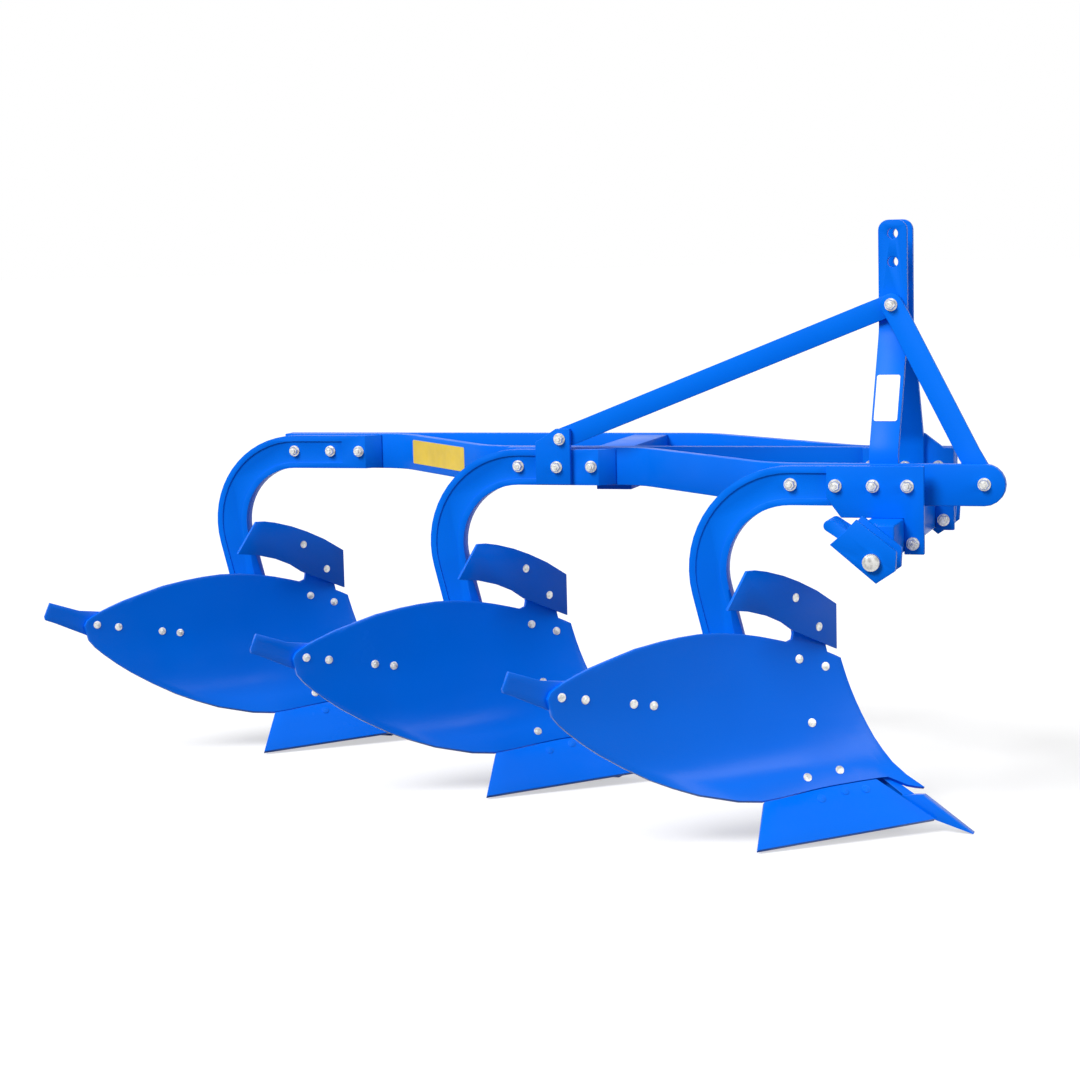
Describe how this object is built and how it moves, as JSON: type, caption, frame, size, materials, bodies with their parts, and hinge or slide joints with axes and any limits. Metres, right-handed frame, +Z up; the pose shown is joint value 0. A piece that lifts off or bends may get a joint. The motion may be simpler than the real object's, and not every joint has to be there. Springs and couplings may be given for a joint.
{
  "type": "moldboard plough",
  "caption": "Mounted moldboard plough: curved plough bodies on C-shaped shanks, stepped flat-bar beams, and a braced three-point mast with lower clevises.",
  "frame": {"origin": "bottom centre of the plough's box, on the ground", "axes": "+X is the direction of travel, +Y is left towards unploughed land, +Z is up"},
  "size_m": [2.0424, 1.0774, 1.11],
  "materials": {
    "frame_blue": "glossy paint",
    "board_blue": "glossy paint",
    "zinc": "zinc plated"
  },
  "bodies": {
    "root": {"brace_lug": "frame_blue", "cross_bar": "frame_blue", "cross_spacer": "frame_blue", "front_bar_point": "board_blue", "front_beam": "frame_blue", "front_brace": "frame_blue", "front_frog": "frame_blue", "front_landside": "frame_blue", "front_moldboard": "board_blue", "front_moldboard_stay": "frame_blue", "front_shank": "frame_blue", "front_share": "board_blue", "front_tail_piece": "board_blue", "front_trash_board": "board_blue", "headstock_plate_left": "frame_blue", "headstock_plate_right": "frame_blue", "hitch_clevis_left": "frame_blue", "hitch_clevis_right": "frame_blue", "hitch_pin_left": "zinc", "hitch_pin_right": "zinc", "mast_leg_left": "frame_blue", "mast_leg_right": "frame_blue", "mast_spacer": "frame_blue", "middle_bar_point": "board_blue", "middle_beam": "frame_blue", "middle_frog": "frame_blue", "middle_landside": "frame_blue", "middle_moldboard": "board_blue", "middle_moldboard_stay": "frame_blue", "middle_shank": "frame_blue", "middle_share": "board_blue", "middle_tail_piece": "board_blue", "middle_trash_board": "board_blue", "rear_bar_point": "board_blue", "rear_beam": "frame_blue", "rear_brace": "frame_blue", "rear_frog": "frame_blue", "rear_landside": "frame_blue", "rear_moldboard": "board_blue", "rear_moldboard_stay": "frame_blue", "rear_shank": "frame_blue", "rear_share": "board_blue", "rear_tail_piece": "board_blue", "rear_trash_board": "board_blue"}
  },
  "joints": []
}
